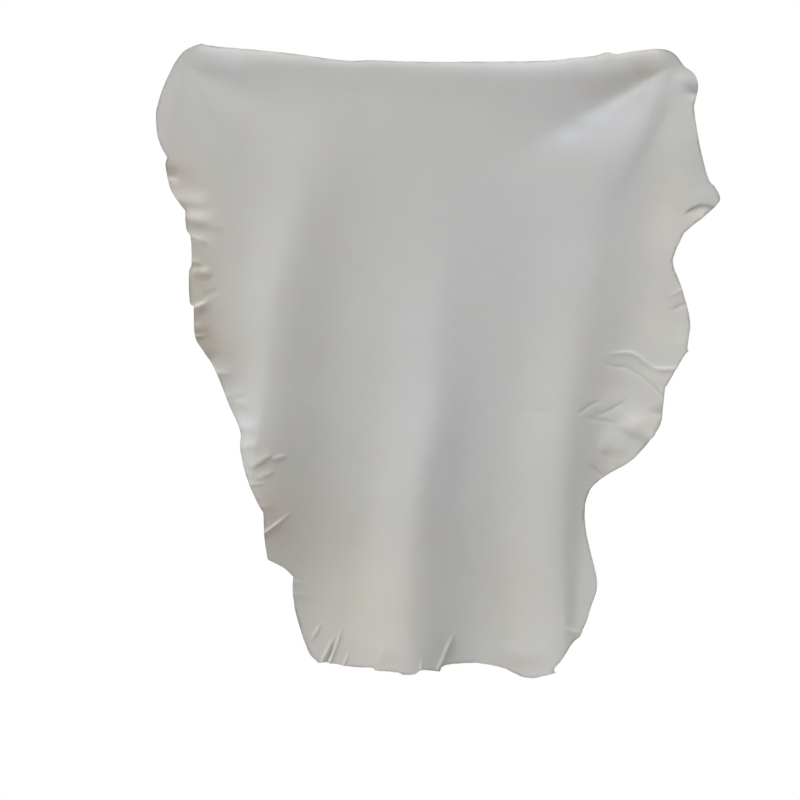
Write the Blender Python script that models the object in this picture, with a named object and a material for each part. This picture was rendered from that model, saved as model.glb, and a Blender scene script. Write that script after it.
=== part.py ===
# A whole chamois leather, held by its two top corners and hanging straight down.
# It is one skin and so one solid: a thin sheet with an uneven cut edge and soft hanging folds.
# X runs across, Y away from the viewer and Z up. The origin is the middle of the top edge.
# Tables are in millimetres, and lift is how far a place stands towards the viewer.

import math

import bpy
import numpy as np
from mathutils import Vector
from mathutils.geometry import delaunay_2d_cdt

MM = 0.001
SKIN_THICKNESS = 1.5
EDGE_STEP = 9.5         # length of the pieces that the cut edge is divided into
EDGE_ROWS = (4.5, 12.0, 21.0)   # how far inside the cut edge a row of points follows it
GRIP_STEP = 10.5        # spacing of points round each grip
GRIP_BAND = 75.0        # radius of that patch
INNER_STEP = 16.0       # spacing of points in the rest of the skin
ROW_CLEARANCE = 0.93    # share of its depth that a point in a row must keep from the cut edge
ROW_SPACING = 0.45      # share of the edge step that points in a row must keep from others
INNER_SPACING = 0.75    # share of their spacing that other points must keep from others
CURVE_STEPS = 12        # points that each span of a smooth curve is read at

# The cut edge, clockwise as seen, in stretches that meet at corners.
# Each stretch is a smooth curve through its own points and on to the start of the next one.
CUT_EDGE = {
    "top": [(-261, 21), (-247, 18), (-191, 13), (-153, 9), (-132, 6), (-110, 3), (-88, 1), (-66, 2),
            (-42, 1), (0, 0), (37, 0), (129, 1), (164, 4), (192, 7), (205, 11), (218, 9), (235, 12)],
    "right grip": [(262, 15), (275, 13), (285, 7), (294, -5), (306, -15), (310, -30)],
    "right flap": [(305, -52), (307, -72), (313, -107), (321, -136), (328, -145), (334, -157),
                   (330, -166), (316, -179), (302, -190)],
    "right side": [(293, -198), (282, -222), (281, -236), (290, -261), (299, -299), (296, -328),
                   (297, -334), (292, -339), (273, -372)],
    "right bulge": [(271, -374), (268, -401), (266, -415), (258, -430), (240, -452), (230, -461),
                    (203, -477), (187, -491)],
    "right shank": [(180, -509), (180, -528), (183, -549), (192, -587), (194, -605), (188, -624),
                    (182, -643)],
    "right foot": [(174, -661), (165, -669), (155, -685), (145, -698)],
    "hem tongue": [(146, -703), (120, -710), (102, -706), (87, -699), (55, -693), (24, -694),
                   (15, -696)],
    "hem middle": [(13, -701), (-7, -699), (-16, -703), (-28, -704), (-36, -701), (-59, -700)],
    "hem left": [(-63, -697), (-91, -696), (-116, -692)],
    "left foot": [(-126, -692), (-135, -684), (-142, -669), (-149, -647), (-154, -626), (-156, -606)],
    "left step": [(-155, -593), (-166, -582)],
    "left shank": [(-184, -572), (-187, -552), (-188, -540)],
    "left side": [(-189, -518), (-196, -506), (-205, -486), (-212, -464), (-216, -443), (-216, -425),
                  (-230, -393), (-245, -355), (-258, -334), (-268, -316)],
    "left notch": [(-269, -281), (-274, -276), (-275, -244), (-272, -232), (-273, -202), (-278, -193)],
    "left shoulder": [(-279, -172), (-286, -163), (-296, -147), (-302, -121)],
    "left grip": [(-300, -111), (-310, -90), (-313, -64), (-309, -42), (-297, -12), (-282, 11)],
}

# The long hanging folds: where each ridge and valley runs, and its lift, at a few heights.
FOLD_COLUMNS = ("height", "left edge", "valley a", "ridge a", "valley b", "ridge b",
                "valley c", "ridge c", "valley d", "right edge")
FOLD_PLACES = [
    (0, -345, -222, -140, -60, 20, 78, 200, 246, 350),
    (-80, -345, -222, -144, -60, 20, 78, 200, 246, 350),
    (-160, -345, -224, -150, -60, 20, 78, 198, 241, 350),
    (-240, -345, -226, -166, -63, 16, 81, 190, 230, 345),
    (-320, -345, -228, -179, -76, 7, 86, 175, 222, 335),
    (-400, -335, -227, -189, -77, 3, 82, 162, 206, 315),
    (-480, -325, -232, -200, -81, -10, 70, 153, 196, 290),
    (-560, -320, -240, -207, -90, -19, 72, 150, 181, 270),
    (-640, -320, -246, -213, -106, -25, 76, 155, 172, 270),
    (-720, -320, -250, -216, -118, -24, 80, 158, 171, 270),
]
FOLD_LIFTS = [
    (0, 0, 0, 0, 0, 0, 0, 0, 0, 0),
    (-80, 2, 0, 2, 0, 0, 0, 0, 0, 3),
    (-160, 8, 0, 7, -2, 0, 0, 3, 1, 9),
    (-240, 14, 0, 11, -4, 0, -2, 7, 5, 20),
    (-320, 15, 2, 12, -5, 2, -5, 7, 4, 26),
    (-400, 12, -2, 14, -8, 5, -8, 7, 1, 26),
    (-480, 7, 5, 17, -9, 7, -9, 8, 0, 22),
    (-560, 14, 15, 19, -9, 9, -9, 8, 2, 14),
    (-640, 14, 17, 17, -7, 12, -12, 7, 3, 14),
    (-720, 14, 17, 17, -7, 17, -15, 5, 5, 14),
]
# How much of each swing happens close to its ridge: 1 is even, more is closer.
FOLD_SHARPNESS = (None, 1.0, 1.3, 1.35, 1.25, 1.3, 1.3, 1.1, 1.0)

# The folds that spread from each corner where the skin is held.
# A turn is in degrees below level, measured from the grip towards the middle of the skin.
# The share of the lift changes smoothly from one row to the next. Arrive and leave say how steep
# the skin is just before and after a row: both 0 is a round fold, and anything more is a crease.
# The lift is greatest at the reach, and a larger gather narrows that swell.
FAN_COLUMNS = ("turn", "share", "arrive", "leave")
GRIPS = {
    "right": {
        "place": (281, -5),
        "inward": -1,
        "reach": 95.0,
        "lift": 28.0,
        "gather": 1.5,
        "fan": [(-40, 0.0, 0.0, 0.0), (3, 0.0, 0.0, 0.0), (28.5, -0.18, 0.7, 0.9),
                (41, 0.11, 0.6, 1.2), (66, 0.32, 0.3, 0.0), (110, 0.32, 0.0, 0.0),
                (180, 0.0, 0.0, 0.0)],
    },
    "left": {
        "place": (-284, -2),
        "inward": 1,
        "reach": 90.0,
        "lift": 5.0,
        "gather": 1.5,
        "fan": [(-40, 0.0, 0.0, 0.0), (5, 0.0, 0.0, 0.0), (24, -0.25, 0.0, 0.0),
                (55, 0.45, 0.0, 0.0), (78, -0.05, 0.0, 0.0), (105, 0.25, 0.0, 0.0),
                (180, 0.0, 0.0, 0.0)],
    },
}

# The top edge rolls back, and the skin swells a little below the roll.
TOP_ROLL = {"back": -5.0, "back depth": 4.5, "swell": 0.8, "swell below": 16.0, "swell width": 15.0}

# Shorter folds by the cut edge: a smooth run of points, a width across and a lift.
# Those that cross the edge start outside the skin, so they are strongest at the edge.
SHORT_FOLDS = [
    {"run": [(-310, -158), (-279, -162), (-246, -166)], "width": 7.0, "lift": 2.3},
    {"run": [(-310, -177), (-268, -183), (-225, -192)], "width": 7.0, "lift": 3.5},
    {"run": [(-310, -197), (-268, -204), (-245, -213)], "width": 5.5, "lift": 3.6},
    {"run": [(-300, -243), (-262, -243), (-243, -248)], "width": 5.0, "lift": 2.4},
    {"run": [(-300, -294), (-268, -283), (-243, -273)], "width": 5.0, "lift": 3.2},
    {"run": [(-298, -305), (-262, -306), (-243, -308)], "width": 6.0, "lift": 3.0},
    {"run": [(-275, -358), (-237, -359), (-220, -360)], "width": 4.5, "lift": 2.6},
    {"run": [(-240, -419), (-205, -423), (-186, -430)], "width": 7.5, "lift": 1.8},
    {"run": [(-216, -562), (-180, -536), (-150, -512)], "width": 4.5, "lift": 2.4},
    {"run": [(206, -174), (250, -102), (273, -58), (287, -8)], "width": 19.0, "lift": -3.1},
    {"run": [(288, -166), (310, -155), (352, -160)], "width": 11.0, "lift": 3.0},
    {"run": [(290, -179), (308, -169), (346, -174)], "width": 4.5, "lift": -2.2},
    {"run": [(192, -340), (231, -335), (251, -347), (312, -353)], "width": 5.0, "lift": 2.0},
    {"run": [(192, -345), (229, -352), (253, -368), (286, -402)], "width": 5.0, "lift": -1.0},
    {"run": [(180, -411), (216, -397), (240, -383)], "width": 5.0, "lift": -0.9},
    {"run": [(206, -406), (239, -417), (272, -429)], "width": 13.0, "lift": 3.2},
    {"run": [(190, -438), (212, -441), (238, -442)], "width": 11.0, "lift": 1.5},
    {"run": [(0, -726), (16, -688), (36, -650)], "width": 4.5, "lift": 1.8},
    {"run": [(-131, -718), (-113, -682), (-98, -650)], "width": 4.5, "lift": 1.6},
    {"run": [(142, -648), (164, -653), (206, -666)], "width": 4.5, "lift": 2.0},
]


def smooth_curve(points, closed_by):
    """Points along a smooth curve through the given ones and on towards the last place."""
    whole = list(points) + [closed_by]
    padded = [whole[0]] + whole + [whole[-1]]
    curve = []
    for span in range(len(whole) - 1):
        before, start, end, after = (np.array(padded[span + i], float) for i in range(4))
        for step in range(CURVE_STEPS):
            t = step / CURVE_STEPS
            curve.append(0.5 * (2 * start + (end - before) * t
                                + (2 * before - 5 * start + 4 * end - after) * t ** 2
                                + (3 * start - before - 3 * end + after) * t ** 3))
    return curve


def even_steps(curve, step):
    """The curve read again at even steps, without its last point."""
    curve = np.array(curve)
    run = np.concatenate([[0.0], np.cumsum(np.linalg.norm(np.diff(curve, axis=0), axis=1))])
    count = max(1, round(run[-1] / step))
    stops = np.linspace(0.0, run[-1], count + 1)[:-1]
    return np.column_stack([np.interp(stops, run, curve[:, 0]), np.interp(stops, run, curve[:, 1])])


def cut_edge_points():
    """The whole outline as one closed ring of points."""
    stretches = list(CUT_EDGE.values())
    ring = []
    for index, points in enumerate(stretches):
        corner = stretches[(index + 1) % len(stretches)][0]
        curve = smooth_curve(points, corner) + [np.array(corner, float)]
        ring.append(even_steps(curve, EDGE_STEP))
    return np.vstack(ring)


def distance_to_run(x, z, run):
    """Distance from each place to a run of points, and the share of the run passed there."""
    run = np.array(run, float)
    lengths = np.linalg.norm(np.diff(run, axis=0), axis=1)
    passed = np.concatenate([[0.0], np.cumsum(lengths)])
    nearest = np.full(np.shape(x), np.inf)
    share = np.zeros(np.shape(x))
    for index, (start, end) in enumerate(zip(run[:-1], run[1:])):
        along = ((x - start[0]) * (end[0] - start[0]) + (z - start[1]) * (end[1] - start[1]))
        t = np.clip(along / lengths[index] ** 2, 0.0, 1.0)
        gap = np.hypot(x - start[0] - t * (end[0] - start[0]), z - start[1] - t * (end[1] - start[1]))
        closer = gap < nearest
        nearest = np.where(closer, gap, nearest)
        share = np.where(closer, (passed[index] + t * lengths[index]) / passed[-1], share)
    return nearest, share


def smooth_step(t):
    t = np.clip(t, 0.0, 1.0)
    return t * t * (3.0 - 2.0 * t)


def column_at_height(table, column, z):
    """A column of a table read smoothly between its rows."""
    heights = np.array([row[0] for row in table], float)
    values = np.array([row[column] for row in table], float)
    place = np.clip((heights[0] - z) / (heights[0] - heights[1]), 0.0, len(table) - 1.001)
    row = place.astype(int)
    t = place - row
    before = values[np.maximum(row - 1, 0)]
    start = values[row]
    end = values[row + 1]
    after = values[np.minimum(row + 2, len(table) - 1)]
    return 0.5 * (2 * start + (end - before) * t
                  + (2 * before - 5 * start + 4 * end - after) * t ** 2
                  + (3 * start - before - 3 * end + after) * t ** 3)


def hanging_folds(x, z):
    """The long folds: smooth swings from each ridge to the next valley."""
    lift = np.zeros(np.shape(x))
    for column in range(1, len(FOLD_COLUMNS) - 1):
        left = column_at_height(FOLD_PLACES, column, z)
        right = column_at_height(FOLD_PLACES, column + 1, z)
        left_lift = column_at_height(FOLD_LIFTS, column, z)
        right_lift = column_at_height(FOLD_LIFTS, column + 1, z)
        t = np.clip((x - left) / (right - left), 0.0, 1.0)
        sharpness = FOLD_SHARPNESS[column]
        if FOLD_COLUMNS[column].startswith("ridge"):
            swing = 1.0 - smooth_step((1.0 - t) ** sharpness)
        else:
            swing = smooth_step(t ** sharpness)
        here = (x >= left) & (x < right)
        lift = np.where(here, left_lift + (right_lift - left_lift) * swing, lift)
    return lift


def grip_folds(x, z, grip):
    """The folds that fan out from one held corner and fade away."""
    across = (x - grip["place"][0]) * grip["inward"]
    down = grip["place"][1] - z
    away = np.hypot(across, down) / grip["reach"]
    turn = np.degrees(np.arctan2(down, across))
    share = np.zeros(np.shape(x))
    rows = [dict(zip(FAN_COLUMNS, row)) for row in grip["fan"]]
    for start, end in zip(rows[:-1], rows[1:]):
        t = np.clip((turn - start["turn"]) / (end["turn"] - start["turn"]), 0.0, 1.0)
        swing = smooth_step(t) + start["leave"] * t * (1.0 - t) ** 2
        swing = swing - end["arrive"] * t ** 2 * (1.0 - t)
        here = start["share"] + (end["share"] - start["share"]) * swing
        share = np.where(turn >= start["turn"], here, share)
    gather = grip["gather"]
    return grip["lift"] * share * away ** gather * np.exp(0.5 * gather * (1.0 - away ** 2))


def top_roll(x, z):
    """The top edge, rolled back from a low swelling."""
    top = smooth_curve(CUT_EDGE["top"], CUT_EDGE["right grip"][0])
    below, _ = distance_to_run(x, z, top)
    back = TOP_ROLL["back"] * np.exp(-below / TOP_ROLL["back depth"])
    swell_place = (below - TOP_ROLL["swell below"]) / TOP_ROLL["swell width"]
    return back + TOP_ROLL["swell"] * np.exp(-swell_place ** 2)


def short_fold(x, z, fold):
    """One short soft ridge or trough, fading out at its ends."""
    run = smooth_curve(fold["run"][:-1], fold["run"][-1])
    away, share = distance_to_run(x, z, run)
    fade = 4.0 * share * (1.0 - share)
    return fold["lift"] * fade * np.exp(-(away / fold["width"]) ** 2)


def skin_lift(x, z):
    """How far each place stands towards the viewer."""
    lift = hanging_folds(x, z) + top_roll(x, z)
    for grip in GRIPS.values():
        lift = lift + grip_folds(x, z, grip)
    for fold in SHORT_FOLDS:
        lift = lift + short_fold(x, z, fold)
    return lift


def staggered_points(low, high, step):
    """Points in upright columns over a rectangle, each column shifted by half a step."""
    column_step = step * math.sqrt(0.75)
    points = []
    for column in range(int((high[0] - low[0]) / column_step) + 1):
        shift = 0.5 * step * (column % 2)
        for place in range(int((high[1] - low[1]) / step) + 1):
            points.append((low[0] + column * column_step, low[1] + shift + place * step))
    return np.array(points)


def inside(points, ring):
    """Which points lie within the closed ring."""
    within = np.zeros(len(points), bool)
    for start, end in zip(ring, np.roll(ring, -1, axis=0)):
        if start[1] == end[1]:
            continue
        crosses = (start[1] > points[:, 1]) != (end[1] > points[:, 1])
        at = start[0] + (points[:, 1] - start[1]) * (end[0] - start[0]) / (end[1] - start[1])
        within ^= crosses & (points[:, 0] < at)
    return within


def edge_row(ring, depth):
    """A row of points that follows the cut edge at one depth inside it."""
    along = np.roll(ring, -1, axis=0) - np.roll(ring, 1, axis=0)
    inward = np.column_stack([along[:, 1], -along[:, 0]]) / np.linalg.norm(along, axis=1)[:, None]
    return ring + inward * depth


def clear_points(points, kept, gap):
    """The points that lie at least a gap from those already kept and from each other."""
    clear = list(kept)
    for point in points:
        if np.min(np.hypot(*(np.array(clear) - point).T)) >= gap:
            clear.append(point)
    return clear


def skin_points(ring):
    """Points inside the skin: rows along the cut edge, patches at the grips, then the rest."""
    closed = np.vstack([ring, ring[:1]])
    kept = list(ring)
    for depth in EDGE_ROWS:
        row = edge_row(ring, depth)
        gap, _ = distance_to_run(row[:, 0], row[:, 1], closed)
        row = row[inside(row, ring) & (gap > ROW_CLEARANCE * depth)]
        kept = clear_points(row, kept, ROW_SPACING * EDGE_STEP)
    for step in (GRIP_STEP, INNER_STEP):
        points = staggered_points(ring.min(axis=0), ring.max(axis=0), step)
        points = points[inside(points, ring)]
        gap, _ = distance_to_run(points[:, 0], points[:, 1], closed)
        points = points[gap > EDGE_ROWS[-1] + ROW_SPACING * EDGE_STEP]
        if step == GRIP_STEP:
            near = [np.hypot(*(points - grip["place"]).T) < GRIP_BAND for grip in GRIPS.values()]
            points = points[near[0] | near[1]]
        kept = clear_points(points, kept, INNER_SPACING * step)
    return np.array(kept)


def make_skin():
    ring = cut_edge_points()
    points = skin_points(ring)
    edges = [(index, (index + 1) % len(ring)) for index in range(len(ring))]
    flat, _, faces, *_ = delaunay_2d_cdt([Vector(point) for point in points], edges, [], 1, 1e-5)
    places = np.array(flat)
    lift = skin_lift(places[:, 0], places[:, 1]) - skin_lift(np.zeros(1), np.zeros(1))
    vertices = np.column_stack([places[:, 0], -lift, places[:, 1]]) * MM
    mesh = bpy.data.meshes.new("hide")
    mesh.from_pydata(vertices.tolist(), [], [tuple(face) for face in faces])
    mesh.shade_smooth()
    skin = bpy.data.objects.new("hide", mesh)
    bpy.context.collection.objects.link(skin)
    wall = skin.modifiers.new("thickness", "SOLIDIFY")
    wall.thickness = SKIN_THICKNESS * MM
    wall.offset = 0.0
    wall.use_even_offset = True
    return skin


def chamois_material():
    material = bpy.data.materials.new("chamois")
    material.use_nodes = True
    shader = material.node_tree.nodes["Principled BSDF"]
    shader.inputs["Base Color"].default_value = (0.62, 0.61, 0.585, 1.0)
    shader.inputs["Roughness"].default_value = 0.95
    shader.inputs["Metallic"].default_value = 0.0
    return material


def main():
    for leftover in list(bpy.data.objects):
        bpy.data.objects.remove(leftover)
    skin = make_skin()
    skin.data.materials.append(chamois_material())


main()
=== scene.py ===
import math

import bpy
import numpy as np
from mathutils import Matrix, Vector, noise
from mathutils.geometry import delaunay_2d_cdt
from mathutils.kdtree import KDTree


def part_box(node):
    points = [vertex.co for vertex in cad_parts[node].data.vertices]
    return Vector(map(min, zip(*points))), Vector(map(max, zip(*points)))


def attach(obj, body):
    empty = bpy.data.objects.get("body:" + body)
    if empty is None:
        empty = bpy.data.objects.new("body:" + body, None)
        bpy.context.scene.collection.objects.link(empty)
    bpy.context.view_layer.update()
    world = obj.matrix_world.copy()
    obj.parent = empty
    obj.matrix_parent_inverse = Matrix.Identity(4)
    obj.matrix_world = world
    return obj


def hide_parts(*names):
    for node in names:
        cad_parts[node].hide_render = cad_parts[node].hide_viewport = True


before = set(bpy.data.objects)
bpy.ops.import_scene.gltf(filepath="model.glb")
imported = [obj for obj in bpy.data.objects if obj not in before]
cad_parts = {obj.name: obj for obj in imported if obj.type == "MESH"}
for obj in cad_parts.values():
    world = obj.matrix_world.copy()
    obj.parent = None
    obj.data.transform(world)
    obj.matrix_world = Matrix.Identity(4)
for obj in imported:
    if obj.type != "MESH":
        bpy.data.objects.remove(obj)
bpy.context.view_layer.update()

# The chamois hangs in the XZ plane: X runs across, Z up, and its front looks along -Y.
# Its tables are in millimetres from the middle of the top edge, like the solid's own.
mm = 0.001
hideLow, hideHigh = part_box("hide")
hideMiddle = (hideLow + hideHigh) / 2
print("frame loaded, the hide measures", [round(side, 3) for side in hideHigh - hideLow], "m")


def addObject(name, data):
    made = bpy.data.objects.new(name, data)
    bpy.context.scene.collection.objects.link(made)
    return made


def screenColour(red, green, blue):
    # screen values from 0 to 255, as the linear colour that a shader takes
    linear = [((value / 255 + 0.055) / 1.055) ** 2.4 for value in (red, green, blue)]
    return (*linear, 1.0)


# Camera and studio.

picture = {
    "lens": 125.0,
    "away": 3.2,        # metres in front of the hide
    "aside": -0.043,    # from the middle of the hide
    "below": 0.045,
}

studio = {
    "key": {"place": (-4.60, -2.80, 1.60), "size": 2.6, "power": 170.0},
    "top": {"place": (0.50, -1.00, 4.00), "size": 2.2, "power": 124.0},
    "back": {"place": (1.40, 2.60, 0.90), "size": 2.2, "power": 34.0},
    "skyAbove": 0.46,
    "skyBelow": 0.20,
    "floorBelow": 0.40,      # metres under the hem
    "floorRadius": 1.8,
    "floorClear": 0.7,       # radius of the part that doesn't fade
    "floorGlow": 0.42,
    "floorSides": 96,
    "floorColour": (0.86, 0.86, 0.86, 1),
    "floorRoughness": 0.9,
    "floorSpecular": 0.1,
}


def makeCamera():
    lens = bpy.data.cameras.new("camera")
    lens.lens = picture["lens"]
    camera = addObject("camera", lens)
    camera.location = (hideMiddle.x + picture["aside"], -picture["away"],
                       hideMiddle.z - picture["below"])
    camera.rotation_euler = (math.radians(90), 0, 0)
    bpy.context.scene.camera = camera
    bpy.context.scene.view_settings.view_transform = "Standard"


def makeLamp(name, lamp):
    light = bpy.data.lights.new(name, "AREA")
    light.shape = "DISK"
    light.size = lamp["size"]
    light.energy = lamp["power"]
    made = addObject(name, light)
    made.location = hideMiddle + Vector(lamp["place"])
    made.rotation_euler = (-Vector(lamp["place"])).to_track_quat("-Z", "Y").to_euler()


def makeSky():
    world = bpy.data.worlds.new("sky")
    world.use_nodes = True
    bpy.context.scene.world = world
    nodes, links = world.node_tree.nodes, world.node_tree.links
    background = nodes["Background"]
    background.inputs["Color"].default_value = (1, 1, 1, 1)
    place = nodes.new("ShaderNodeTexCoord")
    split = nodes.new("ShaderNodeSeparateXYZ")
    height = nodes.new("ShaderNodeMapRange")
    height.inputs["From Min"].default_value = -1.0
    height.inputs["To Min"].default_value = studio["skyBelow"]
    height.inputs["To Max"].default_value = studio["skyAbove"]
    path = nodes.new("ShaderNodeLightPath")
    seen = nodes.new("ShaderNodeMix")
    seen.inputs["B"].default_value = 1.0      # the sky looks plain white but lights softly
    links.new(place.outputs["Generated"], split.inputs["Vector"])
    links.new(split.outputs["Z"], height.inputs["Value"])
    links.new(path.outputs["Is Camera Ray"], seen.inputs["Factor"])
    links.new(height.outputs["Result"], seen.inputs["A"])
    links.new(seen.outputs["Result"], background.inputs["Strength"])


def makeFloor():
    bpy.ops.mesh.primitive_circle_add(vertices=studio["floorSides"], radius=studio["floorRadius"],
                                      fill_type="NGON")
    floor = bpy.context.object
    floor.name = "floor"
    floor.location = (hideMiddle.x, 0, hideLow.z - studio["floorBelow"])
    material = bpy.data.materials.new("pale floor")
    material.use_nodes = True
    nodes, links = material.node_tree.nodes, material.node_tree.links
    shader = nodes["Principled BSDF"]
    shader.inputs["Base Color"].default_value = studio["floorColour"]
    shader.inputs["Roughness"].default_value = studio["floorRoughness"]
    shader.inputs["Specular IOR Level"].default_value = studio["floorSpecular"]
    shader.inputs["Emission Color"].default_value = (1, 1, 1, 1)
    path = nodes.new("ShaderNodeLightPath")
    glow = nodes.new("ShaderNodeMath")
    glow.operation = "MULTIPLY"
    glow.inputs[1].default_value = studio["floorGlow"]
    place = nodes.new("ShaderNodeTexCoord")
    reach = nodes.new("ShaderNodeVectorMath")
    reach.operation = "LENGTH"
    fade = nodes.new("ShaderNodeMapRange")
    fade.interpolation_type = "SMOOTHSTEP"
    fade.inputs["From Min"].default_value = studio["floorRadius"]
    fade.inputs["From Max"].default_value = studio["floorClear"]
    links.new(path.outputs["Is Camera Ray"], glow.inputs[0])
    links.new(glow.outputs["Value"], shader.inputs["Emission Strength"])
    links.new(place.outputs["Object"], reach.inputs[0])
    links.new(reach.outputs["Value"], fade.inputs["Value"])
    links.new(fade.outputs["Result"], shader.inputs["Alpha"])
    floor.data.materials.append(material)


makeCamera()
for side in ("key", "top", "back"):
    makeLamp(side + " light", studio[side])
makeSky()
makeFloor()
print("camera, lights and floor made")


# The cut edge of the hide, clockwise, in smooth stretches that meet at corners.

hide = {
    "thickness": 1.1,
    "edgeStep": 2.4,       # spacing of points along the cut edge
    "knifeWobble": 0.30,   # how far the hand-cut edge strays
    "hemWobble": 0.75,     # the same along the ragged hem
    "hemTop": -685.0,      # the cut edge below this height is the hem
    "longStray": 11.0,     # sizes of the slow and the quick wobbles of the edge
    "shortStray": 4.0,
    "shortShare": 0.5,     # how strong the quick ones are against the slow ones
    "creaseStep": 1.2,     # spacing of points close to a crease
    "creaseBand": 5.5,
    "borderStep": 2.7,     # spacing in the border of the hide
    "borderBand": 36.0,
    "innerStep": 4.6,      # spacing everywhere else
    "clearance": 0.75,     # share of its spacing that a point keeps from the others
    "rimRound": 0.34,
    "rimSegments": 2,
    "rimAngle": 60,        # degrees: only edges sharper than this are rounded
}

# Each use of the noise reads a layer of its own, so that no two of them agree.
noiseLayers = {"longStray": 2.0, "shortStray": 7.0, "creaseX": 3.0, "creaseZ": 5.0,
               "creaseStrength": 9.0, "pucker": 4.0}

cutEdge = {
    "top": [(-261, 21), (-247, 18), (-191, 13), (-153, 9), (-132, 6), (-110, 3), (-88, 1), (-66, 2),
            (-42, 1), (0, 0), (37, 0), (129, 1), (164, 4), (192, 7), (205, 11), (218, 9), (235, 12)],
    "right grip": [(262, 15), (275, 13), (285, 7), (294, -5), (306, -15), (310, -30)],
    "right flap": [(305, -52), (307, -72), (313, -107), (321, -136), (328, -145), (334, -157),
                   (330, -166), (316, -179), (302, -190)],
    "right side": [(293, -198), (282, -222), (281, -236), (290, -261), (299, -299), (296, -328),
                   (297, -334), (292, -339), (273, -372)],
    "right bulge": [(271, -374), (268, -401), (266, -415), (258, -430), (240, -452), (230, -461),
                    (203, -477), (187, -491)],
    "right shank": [(180, -509), (180, -528), (183, -549), (192, -587), (194, -605), (188, -624),
                    (182, -643)],
    "right foot": [(174, -661), (165, -669), (155, -685), (145, -698)],
    "hem tongue": [(146, -703), (120, -710), (102, -706), (87, -699), (55, -693), (24, -694),
                   (15, -696)],
    "hem middle": [(13, -701), (-7, -699), (-16, -703), (-28, -704), (-36, -701), (-59, -700)],
    "hem left": [(-63, -697), (-91, -696), (-116, -692)],
    "left foot": [(-126, -692), (-135, -684), (-142, -669), (-149, -647), (-154, -626), (-156, -606)],
    "left step": [(-155, -593), (-166, -582)],
    "left shank": [(-184, -572), (-187, -552), (-188, -540)],
    "left side": [(-189, -518), (-196, -506), (-205, -486), (-212, -464), (-216, -443), (-216, -425),
                  (-230, -393), (-245, -355), (-258, -334), (-268, -316)],
    "left notch": [(-269, -281), (-274, -276), (-275, -244), (-272, -232), (-273, -202), (-278, -193)],
    "left shoulder": [(-279, -172), (-286, -163), (-296, -147), (-302, -121)],
    "left grip": [(-300, -111), (-310, -90), (-313, -64), (-309, -42), (-297, -12), (-282, 11)],
}


def curveBetween(before, start, end, after, share):
    # the smooth curve from start to end that also heeds the points on either side
    return 0.5 * (2 * start + (end - before) * share
                  + (2 * before - 5 * start + 4 * end - after) * share ** 2
                  + (3 * start - before - 3 * end + after) * share ** 3)


def smoothCurve(points, steps=24):
    # the curve through every point, read at even shares between each pair
    points = np.array(points, float)
    padded = np.vstack([points[:1], points, points[-1:]])
    share = np.arange(steps)[:, None] / steps
    spans = []
    for before, start, end, after in zip(padded, padded[1:], padded[2:], padded[3:]):
        spans.append(curveBetween(before, start, end, after, share))
    return np.vstack(spans + [points[-1:]])


def evenSteps(curve, step):
    # the same curve at even spacing, without its last point
    run = np.concatenate([[0.0], np.cumsum(np.linalg.norm(np.diff(curve, axis=0), axis=1))])
    stops = np.linspace(0.0, run[-1], max(1, round(run[-1] / step)) + 1)[:-1]
    return np.column_stack([np.interp(stops, run, curve[:, axis]) for axis in (0, 1)])


def softNoise(x, z, size, layer):
    return np.array([noise.noise(Vector((a / size, b / size, layer))) for a, b in zip(x, z)])


def cutEdgeRing(step):
    stretches = list(cutEdge.values())
    ring = [evenSteps(smoothCurve(points + following[:1]), step)
            for points, following in zip(stretches, stretches[1:] + stretches[:1])]
    ring = np.vstack(ring)
    along = np.roll(ring, -1, axis=0) - np.roll(ring, 1, axis=0)
    outward = np.column_stack([-along[:, 1], along[:, 0]]) / np.linalg.norm(along, axis=1)[:, None]
    slow, quick = (softNoise(*ring.T, hide[name], noiseLayers[name])
                   for name in ("longStray", "shortStray"))
    stray = slow + hide["shortShare"] * quick
    wobble = np.where(ring[:, 1] < hide["hemTop"], hide["hemWobble"], hide["knifeWobble"])
    return ring + outward * (wobble * stray)[:, None]


# How far each place stands towards the viewer.

# The long hanging folds: where each ridge and valley runs, and its lift, at a few heights.
foldColumns = ("height", "left edge", "valley a", "ridge a", "valley b", "ridge b",
               "valley c", "ridge c", "valley d", "right edge")
foldPlaces = [
    (0, -345, -222, -140, -60, 20, 78, 200, 246, 350),
    (-80, -345, -222, -144, -60, 20, 78, 200, 246, 350),
    (-160, -345, -224, -150, -60, 20, 78, 198, 241, 350),
    (-240, -345, -226, -166, -63, 16, 81, 190, 230, 345),
    (-320, -345, -228, -179, -76, 7, 86, 175, 222, 335),
    (-400, -335, -227, -189, -77, 3, 82, 162, 206, 315),
    (-480, -325, -232, -200, -81, -10, 70, 153, 196, 290),
    (-560, -320, -240, -207, -90, -19, 72, 150, 181, 270),
    (-640, -320, -246, -213, -106, -25, 76, 155, 172, 270),
    (-720, -320, -250, -216, -118, -24, 80, 158, 171, 270),
]
foldLifts = [
    (0, 0, 0, 0, 0, 0, 0, 0, 0, 0),
    (-80, 2, 0, 2, 0, 0, 0, 0, 0, 3),
    (-160, 8, 0, 7, -2, 0, 0, 3, 1, 9),
    (-240, 14, 0, 11, -4, 0, -2, 7, 5, 20),
    (-320, 15, 2, 12, -5, 2, -5, 7, 4, 26),
    (-400, 12, -2, 14, -8, 5, -8, 7, 1, 26),
    (-480, 7, 5, 17, -9, 7, -10, 8, 0, 22),
    (-560, 14, 15, 19, -9, 9, -10, 8, 2, 14),
    (-640, 14, 17, 17, -7, 12, -13, 7, 3, 14),
    (-720, 14, 17, 17, -7, 17, -15, 5, 5, 14),
]
# How much of each swing happens close to its ridge: 1 is even, more is closer.
foldSharpness = (None, 1.0, 1.3, 1.35, 1.25, 1.45, 1.3, 1.1, 1.0)

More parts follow.
